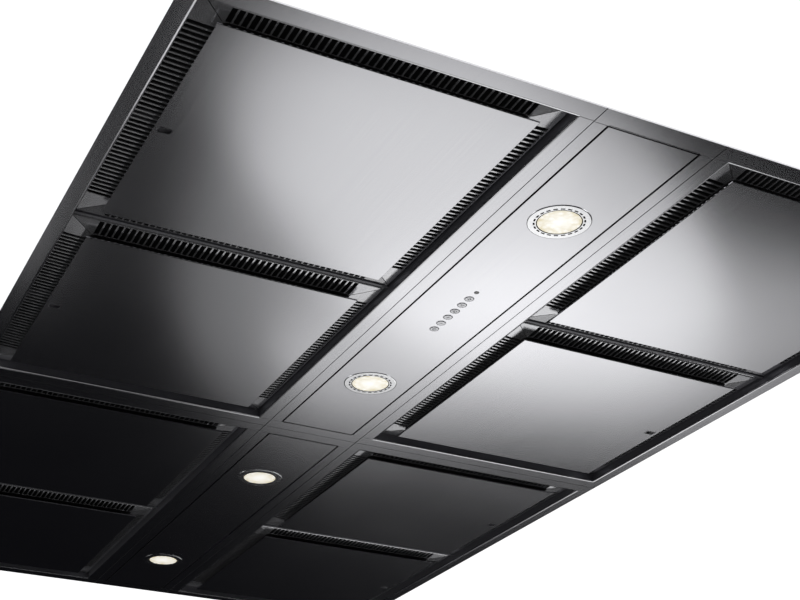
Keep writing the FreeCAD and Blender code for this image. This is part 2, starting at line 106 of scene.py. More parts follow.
# colour, gloss and a fine relief, linked to the shader
def dress(tree, shader, colour, gloss, grain, strength, depth):
    relief = addNode(tree, "ShaderNodeBump", {"Height": grain, "Strength": strength, "Distance": depth * mm})
    for socket, source in (("Base Color", colour), ("Roughness", gloss), ("Normal", relief.outputs[0])):
        tree.links.new(source, shader.inputs[socket])


# belt lines and wiped clouds, as shares of the noise and swings of the roughness
brushLook = {"lines": (0.3, 0.7), "lineGloss": 0.004, "clouds": (0.35, 0.65), "cloudGloss": 0.005,
             "depth": 0.02, "across": (1, 0.02, 0.01), "flatFrom": 0.5}


# 304 stainless sheet, belt brushed along the hood: a soft stretched gloss with fine lines
def brushedStainless(name, look, paintedShade=None):
    material, tree, shader = newMaterial(name)
    place = ownPlace(tree)
    # belt lines are 0.1 mm apart in fact, drawn wider so that they show
    line, run = 1 / (look["lineMm"] * mm), 1 / (look["runMm"] * mm)
    along = addNode(tree, "ShaderNodeMapping", {"Vector": place, "Scale": (line, run, line)})
    lines = addNode(tree, "ShaderNodeTexNoise", {"Vector": along, "Scale": 1, "Detail": 3, "Roughness": 0.65})
    cloud = addNode(tree, "ShaderNodeTexNoise", {
        "Vector": place, "Scale": 1 / (look["cloudMm"] * mm), "Detail": 2})
    tone = ranged(tree, lines, brushLook["lines"])
    colour = mixColour(tree, tone, linear(look["dark"]), linear(look["light"]))
    swing, wipe = brushLook["lineGloss"], brushLook["cloudGloss"]
    fine = ranged(tree, lines, brushLook["lines"], (look["rough"] - swing, look["rough"] + swing))
    wiped = ranged(tree, cloud, brushLook["clouds"], (-wipe, wipe))
    gloss = reckon(tree, "ADD", fine, wiped)
    if paintedShade:
        # painted shade: inner walls and cut edges are dark, flat faces above the trim less so
        height = addNode(tree, "ShaderNodeSeparateXYZ", {"Vector": place}).outputs["Z"]
        above = reckon(tree, "GREATER_THAN", height, under + paintedShade["from"] * mm)
        below = reckon(tree, "LESS_THAN", height, under + paintedShade["to"] * mm)
        within = reckon(tree, "MULTIPLY", above, below)
        facing = addNode(tree, "ShaderNodeSeparateXYZ", {"Vector": ownPlace(tree, "Normal")}).outputs["Z"]
        lying = reckon(tree, "GREATER_THAN", reckon(tree, "ABSOLUTE", facing), brushLook["flatFrom"])
        wall = linear(paintedShade["wall"])
        inner = mixColour(tree, lying, wall, mixColour(tree, paintedShade["flatShare"], colour, wall))
        colour = mixColour(tree, within, colour, inner)
        gloss = reckon(tree, "MULTIPLY_ADD", within, paintedShade["dull"], gloss)
        if paintedShade["metal"] < 1:
            tree.links.new(ranged(tree, within, target=(1, paintedShade["metal"])), shader.inputs["Metallic"])
    dress(tree, shader, colour, gloss, lines, look["bump"], brushLook["depth"])
    # the lines spread a reflection across the hood and leave it sharper along it
    tree.links.new(combined(tree, *brushLook["across"]), shader.inputs["Tangent"])
    shader.inputs["Anisotropic"].default_value = look["spread"]
    shader.inputs["Metallic"].default_value = look["metal"]
    return material


steelLook = {
    "trim": {"light": "#d1d1d4", "dark": "#cbcbcf", "rough": 0.166, "spread": 0.49, "lineMm": 1.6,
             "runMm": 220, "cloudMm": 140, "bump": 0.02, "metal": 1},
    "panel": {"light": "#d3d3d6", "dark": "#cfcfd3", "rough": 0.164, "spread": 0.49, "lineMm": 1.6,
              "runMm": 240, "cloudMm": 170, "bump": 0.016, "metal": 1},
    # a thin film of grease leaves the trays duller than the outer steel
    "tray": {"light": "#dcdcde", "dark": "#cfcfd3", "rough": 0.2, "spread": 0.2, "lineMm": 1.6,
             "runMm": 60, "cloudMm": 70, "bump": 0.04, "metal": 0.75},
    "button": {"light": "#d8d8da", "dark": "#c6c6ca", "rough": 0.25, "spread": 0.5, "lineMm": 0.9,
               "runMm": 40, "cloudMm": 30, "bump": 0.04, "metal": 1},
    "joint": {"light": "#77777c", "dark": "#5c5c61", "rough": 0.45, "spread": 0.3, "lineMm": 0.8,
              "runMm": 20, "cloudMm": 30, "bump": 0.04, "metal": 1},
}
# heights in mm over the underside between which the walls are darkened with painted shade
paintedShadeLook = {
    "inside": {"wall": "#6c6c72", "flatShare": 0.72, "metal": 0.45, "from": 2.1, "to": 70, "dull": 0.25},
    "edges": {"wall": "#161618", "flatShare": 0, "metal": 1, "from": -1, "to": 2.4, "dull": 0},
}
trimSteel = brushedStainless("brushed stainless trim, painted shade inside", steelLook["trim"], paintedShadeLook["inside"])
panelSteel = brushedStainless("brushed stainless panel", steelLook["panel"])
# painted shade: the light panels' cut edges are dark so that the gap round them looks black
doorSteel = brushedStainless("brushed stainless light panel, painted shade on edges", steelLook["panel"], paintedShadeLook["edges"])
traySteel = brushedStainless("rolled stainless tray", steelLook["tray"])
buttonSteel = brushedStainless("turned stainless button", steelLook["button"])
jointSteel = brushedStainless("ground stainless butt joint", steelLook["joint"])

spangleLook = {"warp": 0.35, "rough": (0.38, 0.58), "bump": 0.12, "depth": 0.05, "metal": 0.85}


# hot dipped zinc on steel sheet: frosty crystal spangles, each with its own gloss
def galvanisedSheet(name, look):
    material, tree, shader = newMaterial(name)
    place = ownPlace(tree)
    spangle = look["spangleMm"] * mm
    warp = addNode(tree, "ShaderNodeTexNoise", {"Vector": place, "Scale": 1 / spangle, "Detail": 2})
    shift = addNode(tree, "ShaderNodeVectorMath",
                    {0: warp.outputs["Color"], "Scale": spangleLook["warp"] * spangle}, operation="SCALE")
    bent = addNode(tree, "ShaderNodeVectorMath", {0: place, 1: shift}, operation="ADD")
    crystals = addNode(tree, "ShaderNodeTexVoronoi", {"Vector": bent, "Scale": 1 / spangle})
    shade = addNode(tree, "ShaderNodeSeparateColor", {"Color": crystals.outputs["Color"]}).outputs
    colour = mixColour(tree, shade[0], linear(look["dark"]), linear(look["light"]))
    gloss = ranged(tree, shade[1], target=spangleLook["rough"])
    dress(tree, shader, colour, gloss, shade[2], spangleLook["bump"], spangleLook["depth"])
    shader.inputs["Metallic"].default_value = spangleLook["metal"]
    return material


zincLook = {"sheet": {"light": "#c9cdcf", "dark": "#a6adb1", "spangleMm": 9},
            "strip": {"light": "#dcdfe1", "dark": "#c3c8cb", "spangleMm": 4}}
galvanised = galvanisedSheet("hot dipped galvanised sheet", zincLook["sheet"])
stripZinc = galvanisedSheet("galvanised strip, small spangle", zincLook["strip"])

grainRange, grainDepth = (0.32, 0.68), 0.05


# a metal or plastic with one fine cloudy grain: cast, plated, rolled or moulded
def grainedFinish(name, look):
    material, tree, shader = newMaterial(name)
    sized = [1 / (size * mm) for size in look["grainMm"]]
    spread = addNode(tree, "ShaderNodeMapping", {"Vector": ownPlace(tree), "Scale": sized})
    grain = addNode(tree, "ShaderNodeTexNoise", {"Vector": spread, "Scale": 1, "Detail": 4, "Roughness": 0.6})
    tone = ranged(tree, grain, grainRange)
    colour = mixColour(tree, tone, linear(look["dark"]), linear(look["light"]))
    dress(tree, shader, colour, ranged(tree, tone, target=look["rough"]), grain, look["bump"], grainDepth)
    shader.inputs["Metallic"].default_value = look["metal"]
    return material


grainLook = {
    # drawn through rollers, so faint lines along the sheet
    "rolled aluminium": {"light": "#dcdcde", "dark": "#c6c7ca", "rough": (0.28, 0.4),
                         "grainMm": (2, 120, 2), "bump": 0.1, "metal": 1},
    # zinc plate with a yellow and blue passivate
    "zinc plated steel": {"light": "#d6d5cf", "dark": "#b9bcc0", "rough": (0.22, 0.36),
                          "grainMm": (3, 3, 3), "bump": 0.1, "metal": 1},
    "polished chrome": {"light": "#f1f1f2", "dark": "#e6e7e9", "rough": (0.1, 0.18),
                        "grainMm": (9, 9, 9), "bump": 0.02, "metal": 1},
    # die cast: a matt, slightly pitted skin
    "die cast aluminium": {"light": "#c9c9cb", "dark": "#a2a3a7", "rough": (0.42, 0.6),
                           "grainMm": (1.2, 1.2, 1.2), "bump": 0.4, "metal": 1},
    # moulded in a spark eroded tool, so a fine matt grain
    "moulded black acetal": {"light": "#4c4c50", "dark": "#38383c", "rough": (0.4, 0.6),
                             "grainMm": (0.6, 0.6, 0.6), "bump": 0.3, "metal": 0},
    "moulded grey abs": {"light": "#4a4a4d", "dark": "#38383b", "rough": (0.5, 0.65),
                         "grainMm": (0.8, 0.8, 0.8), "bump": 0.4, "metal": 0},
    "smoked acrylic lens": {"light": "#26262a", "dark": "#0d0d10", "rough": (0.05, 0.12),
                            "grainMm": (2, 2, 2), "bump": 0.02, "metal": 0},
    "extruded black rubber": {"light": "#242426", "dark": "#131315", "rough": (0.65, 0.85),
                              "grainMm": (1, 1, 1), "bump": 0.3, "metal": 0},
    # black for painted shade in slots, grooves, notches and the filter pack, and for dark joints
    "black for painted shade and dark joints": {"light": "#161618", "dark": "#0a0a0b", "rough": (0.6, 0.8),
                               "grainMm": (1, 1, 1), "bump": 0.2, "metal": 0},
    # laser marked: a dull grey anneal colour in the steel
    "laser marked steel": {"light": "#b2b2b6", "dark": "#98989d", "rough": (0.45, 0.6),
                           "grainMm": (0.5, 0.5, 0.5), "bump": 0.1, "metal": 1},
}
finish = {name: grainedFinish(name, look) for name, look in grainLook.items()}
zincPlate, chrome = finish["zinc plated steel"], finish["polished chrome"]
acetal, rubber = finish["moulded black acetal"], finish["extruded black rubber"]
shadowGap = finish["black for painted shade and dark joints"]


# pressed borosilicate cover over a lit reflector: almost white in the middle, warmer and mottled at the edge
def litGlass(look):
    material, tree, shader = newMaterial("pressed lamp glass, lit")
    scale = 1 / (look["facetMm"] * mm)
    facets = addNode(tree, "ShaderNodeTexVoronoi", {"Vector": ownPlace(tree), "Scale": scale})
    edge = addNode(tree, "ShaderNodeAttribute", attribute_name="fromCentre")
    mottle = reckon(tree, "MULTIPLY", facets.outputs["Distance"], look["mottle"])
    warm = reckon(tree, "MULTIPLY", edge.outputs["Fac"], mottle)
    colour = mixColour(tree, warm, linear(look["middle"]), linear(look["edge"]))
    tree.links.new(colour, shader.inputs["Base Color"])
    tree.links.new(colour, shader.inputs["Emission Color"])
    shader.inputs["Emission Strength"].default_value = look["glow"]
    shader.inputs["Roughness"].default_value = look["rough"]
    shader.inputs["IOR"].default_value = look["ior"]
    return material


lampGlass = litGlass({"middle": "#fffefa", "edge": "#dcd2b4", "glow": 0.86, "facetMm": 6, "mottle": 1.3,
                      "rough": 0.12, "ior": 1.47})

slotFinish = {
    "trim_steel": trimSteel, "panel_steel": panelSteel, "filter_steel": traySteel,
    "button_steel": buttonSteel, "galvanised_sheet": galvanised, "zinc_screw": zincPlate,
    "flap_aluminium": finish["rolled aluminium"], "lamp_can_aluminium": finish["die cast aluminium"],
    "lamp_chrome": chrome, "lamp_glass": lampGlass, "latch_black": acetal,
    "control_plastic": finish["moulded grey abs"], "status_lens": finish["smoked acrylic lens"],
}
# nodes whose edges or coating differ from the rest of their slot: painted shade on the edges of the light
# panels, zinc plate on the hanger plates
nodeFinish = {"light_panel_front": doorSteel, "light_panel_rear": doorSteel, "hanger_plates": zincPlate}
for part in frame["record"]["subparts"]:
    skin = frame["nodes"][part["node"]].data
    skin.materials.clear()
    skin.materials.append(nodeFinish.get(part["node"], slotFinish[part["material_slot"]]))


def newPiece(name, mesh, material):
    piece = bpy.data.objects.new(name, mesh)
    bpy.context.scene.collection.objects.link(piece)
    mesh.materials.append(material)
    return piece


def meshOf(name, fill):
    shape = bmesh.new()
    fill(shape)
    mesh = bpy.data.meshes.new(name)
    shape.to_mesh(mesh)
    shape.free()
    return mesh


# closed boxes, each given by its lowest and highest corner
def boxesMesh(name, boxes):
    def fill(shape):
        for low, high in boxes:
            for vert in bmesh.ops.create_cube(shape, size=1)["verts"]:
                vert.co = [low[axis] + (vert.co[axis] + 0.5) * (high[axis] - low[axis]) for axis in range(3)]

    return meshOf(name, fill)


def pointsMesh(name, points):
    mesh = bpy.data.meshes.new(name)
    mesh.from_pydata([tuple(p) for p in points], [], [])
    return mesh


# turns a face to look down, out of the hood
def lookDown(face):
    face.normal_update()
    if face.normal.z > 0:
        face.normal_flip()


def downFace(shape, corners):
    lookDown(shape.faces.new([shape.verts.new(corner) for corner in corners]))


# inputs are listed by kind; every tree also takes the mesh it works on and a material
def newTree(name, **inputs):
    tree = bpy.data.node_groups.new(name, "GeometryNodeTree")
    for kind, labels in {"Geometry": ["Geometry"], **inputs, "Material": ["Material"]}.items():
        for label in labels:
            tree.interface.new_socket(label, in_out="INPUT", socket_type="NodeSocket" + kind)
    tree.interface.new_socket("Geometry", in_out="OUTPUT", socket_type="NodeSocketGeometry")
    return tree, addNode(tree, "NodeGroupInput").outputs


def onPoints(tree, points, instance, rotation=(0, 0, 0)):
    return addNode(tree, "GeometryNodeInstanceOnPoints", {
        "Points": points, "Instance": instance, "Rotation": rotation})


def joined(tree, parts):
    join = addNode(tree, "GeometryNodeJoinGeometry")
    for part in parts:
        tree.links.new(part, join.inputs[0])
    return join


def endTree(tree, geometry, material):
    whole = addNode(tree, "GeometryNodeRealizeInstances", {"Geometry": geometry})
    coated = addNode(tree, "GeometryNodeSetMaterial", {"Geometry": whole, "Material": material})
    addNode(tree, "NodeGroupOutput", {"Geometry": coated})
    return tree


def useTree(piece, tree, values):
    values = {"Material": piece.data.materials[0], **values}
    modifier = piece.modifiers.new(tree.name, "NODES")
    modifier.node_group = tree
    for item in tree.interface.items_tree:
        if item.in_out == "INPUT" and item.name in values:
            modifier[item.identifier] = values[item.name]


def roundEdges(piece, width, steps=2):
    edge = piece.modifiers.new("round", "BEVEL")
    edge.width, edge.segments, edge.limit_method = width * mm, steps, "ANGLE"


def settle(piece):
    # the modifiers' result becomes the piece's plain mesh
    bpy.context.view_layer.update()
    shown = piece.evaluated_get(bpy.context.evaluated_depsgraph_get())
    mesh = bpy.data.meshes.new_from_object(shown)
    piece.modifiers.clear()
    piece.data = mesh


# a thin sheet becomes a closed body, thickened away from its face
def thicken(piece, amount):
    wall = piece.modifiers.new("sheet", "SOLIDIFY")
    wall.thickness, wall.offset = amount * mm, -1


def carry(piece, body, replaced=None):
    if piece.modifiers:
        settle(piece)
    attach(piece, body)
    if replaced:
        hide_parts(replaced)


# air slots along the four sides of a tray, as the narrow bars left between them
def slotBarTree():
    tree, size = newTree("slot bars", Int=("Bars Across", "Bars Along"), Vector=["Centre"], Float=(
        "Half Width", "Half Length", "Pitch Across", "Pitch Along", "Slot Width", "Bar Length", "Inset",
        "Height", "Tilt"))
    lean = combined(tree, size["Tilt"])
    rows = []
    for count, half, pitch, quarter in (("Bars Across", "Half Length", "Pitch Across", 0),
                                        ("Bars Along", "Half Width", "Pitch Along", 1)):
        breadth = reckon(tree, "SUBTRACT", size[pitch], size["Slot Width"])
        bar = addNode(tree, "GeometryNodeMeshGrid", {
            "Size X": breadth, "Size Y": size["Bar Length"], "Vertices X": 2, "Vertices Y": 2})
        bar = addNode(tree, "GeometryNodeFlipFaces", {"Mesh": bar})
        span = reckon(tree, "MULTIPLY", reckon(tree, "SUBTRACT", size[count], 1), size[pitch])
        left = reckon(tree, "MULTIPLY", span, -0.5)
        reach = reckon(tree, "MULTIPLY_ADD", size["Bar Length"], 0.5, size["Inset"])
        front = reckon(tree, "SUBTRACT", reach, size[half])
        line = addNode(tree, "GeometryNodeMeshLine", {
            "Count": size[count], "Start Location": combined(tree, left, front, size["Height"]),
            "Offset": combined(tree, size[pitch])})
        row = onPoints(tree, line, bar, lean)
        for halfTurn in (0, 1):
            turn = (0, 0, math.pi * (halfTurn + quarter / 2))
            turned = addNode(tree, "GeometryNodeTransform", {"Geometry": row, "Rotation": turn})
            rows.append(turned.outputs[0])
    whole = joined(tree, rows + [size["Geometry"]])
    moved = addNode(tree, "GeometryNodeTransform", {"Geometry": whole, "Translation": size["Centre"]})
    return endTree(tree, moved, size["Material"])


trayLook = {
    "halfWidth": 199, "halfLength": 211, "height": 9.7, "sheet": 1.2, "skirt": 14,
    "roll": 4, "rollSteps": 5, "rise": 1.5, "slotInset": 4.2, "slotLength": 28.8, "slotWidth": 5.7,
    "pitchAcross": 7.64, "pitchAlong": 7.95, "slotsAcross": 43, "slotsAlong": 42,
    "seam": 0.8, "seamStop": 0.5, "proud": 0.06, "inlay": 0.3,
    "packCorner": 7, "cornerSteps": 6, "packGap": 3, "packRise": 16,
    "pinRadius": 2, "pinReach": 213.8, "pinLength": 11, "pinRise": 13.2, "pinInset": 4, "insideRise": 60,
}
halfWidth, halfLength = trayLook["halfWidth"] * mm, trayLook["halfLength"] * mm
rimInner = trayLook["slotInset"] + trayLook["slotLength"]  # where the rim meets the flat middle, in mm


# rim height over the underside: it falls from the rolled edge to the flat middle
def rimHeight(inset):
    slope = (rimInner - inset) / (rimInner - trayLook["roll"])
    return under + (trayLook["height"] + trayLook["rise"] * max(slope, 0)) * mm


# rolled rim, flat middle and the corner plates between the rows of slots
def traySheet():
    look = trayLook
    outer, zOut, zIn = look["slotInset"], rimHeight(look["slotInset"]), rimHeight(rimInner)
    corners = ((-1, -1), (1, -1), (1, 1), (-1, 1))

    def fill(shape):
        def spot(right, back, insetX, insetY, z):
            return shape.verts.new((right * (halfWidth - insetX * mm), back * (halfLength - insetY * mm), z))

        profile = [(0, under + (look["height"] + look["skirt"]) * mm)]
        for step in range(look["rollSteps"] + 1):
            angle = math.radians(90 / look["rollSteps"] * step)
            drop = look["roll"] * (1 - math.sin(angle)) * mm
            profile.append((look["roll"] * (1 - math.cos(angle)), rimHeight(look["roll"]) + drop))
        profile.append((outer, zOut))
        rings = [[spot(r, b, inset, inset, z) for r, b in corners] for inset, z in profile]
        for low, high in zip(rings, rings[1:]):
            for at in range(4):
                shape.faces.new((low[at], low[at - 1], high[at - 1], high[at]))
        shape.faces.new([spot(r, b, rimInner, rimInner, zIn) for r, b in corners])
        across = halfWidth / mm - (look["pitchAcross"] * (look["slotsAcross"] - 1) + look["slotWidth"]) / 2
        along = halfLength / mm - (look["pitchAlong"] * (look["slotsAlong"] - 1) + look["slotWidth"]) / 2
        for r, b in corners:
            shape.faces.new((spot(r, b, outer, outer, zOut), spot(r, b, across, outer, zOut),
                             spot(r, b, across, rimInner, zIn), spot(r, b, rimInner, rimInner, zIn)))
            shape.faces.new((spot(r, b, outer, outer, zOut), spot(r, b, outer, along, zOut),
                             spot(r, b, rimInner, along, zIn), spot(r, b, rimInner, rimInner, zIn)))
        inside = Vector((0, 0, under + look["insideRise"] * mm))
        shape.normal_update()
        for face in shape.faces:
            if face.normal.dot(face.calc_center_median() - inside) < 0:
                face.normal_flip()

    return meshOf("traySheet", fill)


# fine dark lines where the rim's sides meet at 45 degrees, and black sheets of painted shade where the filter
# pack sits
def traySeamsAndShade(centre):
    look = trayLook
    near, far = look["roll"], rimInner - look["seamStop"]
    half = look["seam"] / 2 * 0.707 * mm  # across a line at 45 degrees
    proud = look["proud"] * mm

    def fill(shape):
        for right in (-1, 1):
            for back in (-1, 1):
                downFace(shape, [(centre.x + right * (halfWidth - inset * mm + way * half),
                                  centre.y + back * (halfLength - inset * mm - way * half),
                                  rimHeight(inset) - proud)
                                 for inset, way in ((near, 1), (far, 1), (far, -1), (near, -1))])
        # a black face in the flat middle, hidden by the cover panel: painted shade where the tray opens onto
        # the pack
        bend, z = look["packCorner"], rimHeight(rimInner) - proud
        edge = []
        for quarter, (right, back) in enumerate(((1, 1), (-1, 1), (-1, -1), (1, -1))):
            for step in range(look["cornerSteps"] + 1):
                angle = math.radians(90 * quarter + 90 / look["cornerSteps"] * step)
                x = right * (halfWidth - (rimInner + bend) * mm) + bend * mm * math.cos(angle)
                y = back * (halfLength - (rimInner + bend) * mm) + bend * mm * math.sin(angle)
                edge.append((centre.x + x, centre.y + y, z))
        downFace(shape, edge[::-1])
        # a black sheet where the pack fills the tray above the latch bolt and the hinge pins: painted shade,
        # so the slots look dark
        wide, deep = halfWidth - look["packGap"] * mm, halfLength - look["packGap"] * mm
        downFace(shape, [(centre.x + right * wide, centre.y + back * deep, under + look["packRise"] * mm)
                         for right, back in ((-1, -1), (-1, 1), (1, 1), (1, -1))])

    return meshOf("traySeamsAndShade", fill)


# round pins along the hood, one at each point of the input mesh
def pinsTree():
    tree, size = newTree("pins", Float=("Radius", "Length"))
    pin = addNode(tree, "GeometryNodeMeshCylinder", {
        "Vertices": 20, "Radius": size["Radius"], "Depth": size["Length"]})
    laid = addNode(tree, "GeometryNodeTransform", {"Geometry": pin, "Rotation": (math.pi / 2, 0, 0)})
    return endTree(tree, onPoints(tree, size["Geometry"], laid), size["Material"])


slotBars, pinTree = slotBarTree(), pinsTree()
for tag, right in cassettes.items():
    look = trayLook
    panelLow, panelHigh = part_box(f"cover_panel_{tag}")
    centre = (panelLow + panelHigh) / 2
    tray = newPiece(f"slottedTray_{tag}", traySheet(), traySteel)
    useTree(tray, slotBars, {
        "Half Width": halfWidth, "Half Length": halfLength,
        "Bars Across": look["slotsAcross"] - 1, "Bars Along": look["slotsAlong"] - 1,
        "Pitch Across": look["pitchAcross"] * mm, "Pitch Along": look["pitchAlong"] * mm,
        "Slot Width": look["slotWidth"] * mm, "Bar Length": look["slotLength"] * mm,
        "Inset": look["slotInset"] * mm, "Height": rimHeight(look["slotInset"] + look["slotLength"] / 2),
        "Tilt": -math.atan(look["rise"] / (rimInner - look["roll"])),
        "Centre": (centre.x, centre.y, 0)})
    thicken(tray, look["sheet"])
    carry(tray, f"filter_{tag}", f"filter_tray_{tag}")
    seamsAndShade = newPiece(f"traySeamsAndShade_{tag}", traySeamsAndShade(centre), shadowGap)
    thicken(seamsAndShade, look["inlay"])
    carry(seamsAndShade, f"filter_{tag}")
    pinX = centre.x - right * (halfWidth - look["pinInset"] * mm)
    pinY = (look["pinReach"] - look["pinLength"] / 2) * mm
    ends = [(pinX, centre.y + way * pinY, under + look["pinRise"] * mm) for way in (-1, 1)]
    pins = newPiece(f"hingePins_{tag}", pointsMesh("pins", ends), zincPlate)
    useTree(pins, pinTree, {"Radius": look["pinRadius"] * mm, "Length": look["pinLength"] * mm})
    carry(pins, f"filter_{tag}")
print("slotted trays made")


# rectangular plate with a rectangular window, all four corners of both in one ring of faces
def windowPlate(outer, window, z):
    def fill(shape):
        layers = []
        for height in z:
            rings = []
            for x0, x1, y0, y1 in (outer, window):
                corners = ((x0, y0), (x1, y0), (x1, y1), (x0, y1))
                rings.append([shape.verts.new((x, y, height)) for x, y in corners])
            layers.append(rings)
        for ring in (0, 1):
            for at in range(4):
                low, high = layers[0][ring], layers[1][ring]
                shape.faces.new((low[at - 1], low[at], high[at], high[at - 1]))
        for rings in layers:
            for at in range(4):
                shape.faces.new((rings[0][at - 1], rings[0][at], rings[1][at], rings[1][at - 1]))
        bmesh.ops.recalc_face_normals(shape, faces=shape.faces)

    return meshOf("windowPlate", fill)


def grown(edges, amount):
    x0, x1, y0, y1 = edges
    return x0 - amount, x1 + amount, y0 - amount, y1 + amount


# spacer studs at the corners of a panel
def studTree():
    tree, size = newTree("spacer studs", Float=("Span X", "Span Y", "Radius", "Height"), Vector=["Centre"])
    spots = addNode(tree, "GeometryNodeMeshGrid", {
        "Size X": size["Span X"], "Size Y": size["Span Y"], "Vertices X": 2, "Vertices Y": 2})
    stud = addNode(tree, "GeometryNodeMeshCylinder", {
        "Vertices": 24, "Radius": size["Radius"], "Depth": size["Height"]})
    row = onPoints(tree, spots, stud)
    moved = addNode(tree, "GeometryNodeTransform", {"Geometry": row, "Translation": size["Centre"]})
    return endTree(tree, joined(tree, [moved.outputs[0], size["Geometry"]]), size["Material"])


panelLook = {
    "sheet": 2, "hem": 0.35, "studRadius": 4, "studInset": 20,
    "window": (13, 8), "windowInset": 12, "lip": 1.3, "lipProud": 0.5, "lipSink": 0.3, "lipRound": 0.38,
    "post": 4, "slack": 0.4, "pull": 0.8,
}
studs = studTree()
for tag, right in cassettes.items():
    look = panelLook
    low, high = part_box(f"cover_panel_{tag}")
    centre = (low + high) / 2
    windowX = (high.x if right > 0 else low.x) - right * look["windowInset"] * mm
    halfX, halfY = look["window"][0] / 2 * mm, look["window"][1] / 2 * mm
    window = (windowX - halfX, windowX + halfX, centre.y - halfY, centre.y + halfY)
    top = low.z + look["sheet"] * mm
    plate = windowPlate((low.x, high.x, low.y, high.y), window, (low.z, top))
    panel = newPiece(f"coverPanel_{tag}", plate, panelSteel)
    roundEdges(panel, look["hem"])
    span = 2 * look["studInset"] * mm
    useTree(panel, studs, {
        "Span X": high.x - low.x - span, "Span Y": high.y - low.y - span, "Radius": look["studRadius"] * mm,
        "Height": high.z - top, "Centre": (centre.x, centre.y, (top + high.z) / 2)})
    carry(panel, f"filter_{tag}", f"cover_panel_{tag}")
    lipZ = (low.z - look["lipProud"] * mm, low.z + look["lipSink"] * mm)
    lip = newPiece(f"latchLip_{tag}", windowPlate(grown(window, look["lip"] * mm), window, lipZ), panelSteel)
    roundEdges(lip, look["lipRound"])
    carry(lip, f"filter_{tag}")
    # finger pull: a thin plate behind the window that slides with the latch
    slack, pull = look["slack"] * mm, look["pull"] * mm
    ends = sorted((windowX - right * (halfX + pull), windowX + right * (halfX - slack - look["post"] * mm)))
    floor = boxesMesh(f"fingerPull_{tag}", [((ends[0], window[2] - pull, top + slack),
                                             (ends[1], window[3] + pull, top + slack + pull))])
    carry(newPiece(f"fingerPull_{tag}", floor, acetal), f"latch_{tag}")
print("cover panels made")


# flat rings, one round each point of the input mesh
def ringTree():
    tree, size = newTree("rings", Float=("Radius", "Width", "Height"), Int=["Sides"])
    path = addNode(tree, "GeometryNodeCurvePrimitiveCircle", {
        "Resolution": size["Sides"], "Radius": size["Radius"]})
    section = addNode(tree, "GeometryNodeCurvePrimitiveQuadrilateral", {
        "Width": size["Width"], "Height": size["Height"]})
    ring = addNode(tree, "GeometryNodeCurveToMesh", {"Curve": path, "Profile Curve": section})
    return endTree(tree, onPoints(tree, size["Geometry"], ring), size["Material"])


# small blocks set round a circle, for the notches of a lamp bezel
def lugTree():
    tree, size = newTree("lugs", Int=["Lugs"], Float=("Radius", "Length", "Width", "Height"))
    block = combined(tree, size["Length"], size["Width"], size["Height"])
    lug = addNode(tree, "GeometryNodeMeshCube", {"Size": block})
    circle = addNode(tree, "GeometryNodeMeshCircle", {"Vertices": size["Lugs"], "Radius": size["Radius"]})
    place = addNode(tree, "GeometryNodeInputPosition")
    outwards = addNode(tree, "FunctionNodeAlignRotationToVector", {"Vector": place},
                       axis="X", pivot_axis="Z")
    ring = onPoints(tree, circle, lug, outwards)
    return endTree(tree, onPoints(tree, size["Geometry"], ring), size["Material"])


rings, lugs = ringTree(), lugTree()


def ringPiece(name, points, material, radius, width, height, steps=64):
    piece = newPiece(name, pointsMesh(name, points), material)
    useTree(piece, rings, {"Radius": radius * mm, "Width": width * mm, "Height": height * mm, "Sides": steps})
    return piece


lampLook = {
    "glassRadius": 26.1, "glassRise": -0.3, "glassSides": 48,
    # share of the glass radius and height over its face, from the middle to the back edge
    "glassRings": [(0.35, 0), (0.7, 0), (0.97, 0), (1, 0.2), (1, 5)],
    "grooveRadius": 25.8, "grooveWidth": 1.1, "grooveHeight": 0.2, "grooveDrop": 0.42,
    "notches": 22, "notchRadius": 28.9, "notchLength": 2.1, "notchWidth": 5.0, "notchHeight": 0.16,
    "edging": 0.8, "edgingDrop": 0.05, "edgingRise": 0.4,
    "bezelFace": -0.64, "bezelSides": 96, "sharpAngle": 35,
    # radius and height of the bezel's section, from its outer edge over the face to the lip round the glass
    "section": [(36.8, 0), (36.8, -0.15), (36.6, -0.42), (36.2, -0.58), (35.5, -0.64), (35.2, -0.64),
                (26.6, -0.64), (26.4, -0.3), (26.4, 1.2), (29.5, 1.2), (29.5, 0)],
}


def circlePoints(centre, radius, z, count):
    turns = [2 * math.pi * at / count for at in range(count)]
    return [(centre.x + radius * mm * math.cos(turn), centre.y + radius * mm * math.sin(turn), z)
            for turn in turns]


# closed rings turned round upright axes
def turnedMesh(name, points, look):
    count = look["bezelSides"]

    def fill(shape):
        for point in points:
            loops = []
            for radius, height in look["section"]:
                circle = circlePoints(point, radius, point.z + height * mm, count)
                loops.append([shape.verts.new(spot) for spot in circle])
            for near, far in zip(loops, loops[1:] + loops[:1]):
                for at in range(count):
                    shape.faces.new((near[at - 1], near[at], far[at], far[at - 1])).smooth = True
        bmesh.ops.recalc_face_normals(shape, faces=shape.faces)

    mesh = meshOf(name, fill)
    mesh.set_sharp_from_angle(angle=math.radians(look["sharpAngle"]))
    return mesh


# glass discs with their distance from the middle kept for the finish
def glassMesh(points, look):
    count = look["glassSides"]

    def fill(shape):
        amount = shape.verts.layers.float.new("fromCentre")
        for point in points:
            hub = shape.verts.new((point.x, point.y, under + look["glassRise"] * mm))
            hub[amount] = 0
            back = shape.verts.new(hub.co + Vector((0, 0, look["glassRings"][-1][1] * mm)))
            last = None
            for share, rise in look["glassRings"]:
                loop = []
                for spot in circlePoints(point, share * look["glassRadius"], hub.co.z + rise * mm, count):
                    vert = shape.verts.new(spot)
                    vert[amount] = share
                    loop.append(vert)
                for at in range(count):
                    if last is None:
                        shape.faces.new((hub, loop[at - 1], loop[at]))
                    else:
                        shape.faces.new((last[at - 1], loop[at - 1], loop[at], last[at]))
                last = loop
            for at in range(count):
                shape.faces.new((last[at - 1], back, last[at]))
        bmesh.ops.recalc_face_normals(shape, faces=shape.faces)

    return meshOf("lampGlass", fill)


